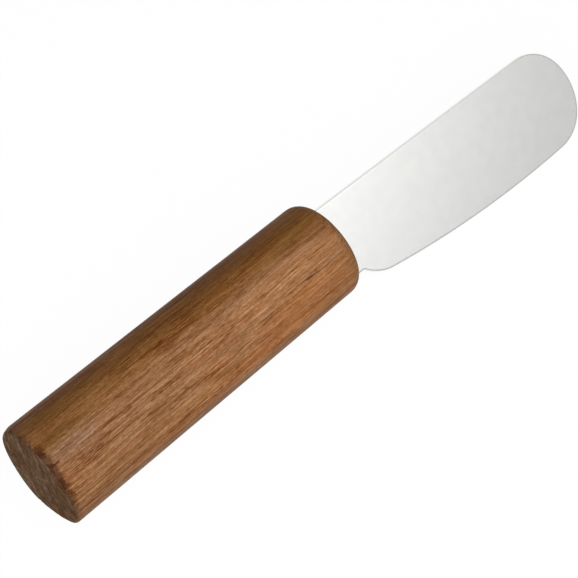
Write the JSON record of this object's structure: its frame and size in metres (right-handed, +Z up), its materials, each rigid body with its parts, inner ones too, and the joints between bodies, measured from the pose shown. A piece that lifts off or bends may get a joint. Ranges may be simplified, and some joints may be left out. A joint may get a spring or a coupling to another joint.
{
  "type": "butter knife",
  "caption": "Small spreading knife: a straight tapered wooden grip with a flat, blunt, round-ended steel blade let into its front.",
  "frame": {"origin": "middle of the resting knife's bounding box, on the table", "axes": "+X from the butt to the tip, +Z up, with the blade's belly towards -Y"},
  "size_m": [0.1402, 0.0236, 0.0221],
  "materials": {
    "oiled_wood": "turned, sanded and oiled, straight brown grain",
    "satin_steel": "tumbled satin stainless sheet with broken edges",
    "tang_resin": "set brown epoxy"
  },
  "bodies": {
    "root": {"handle": "oiled_wood", "blade": "satin_steel", "tang_adhesive": "tang_resin"}
  },
  "joints": []
}
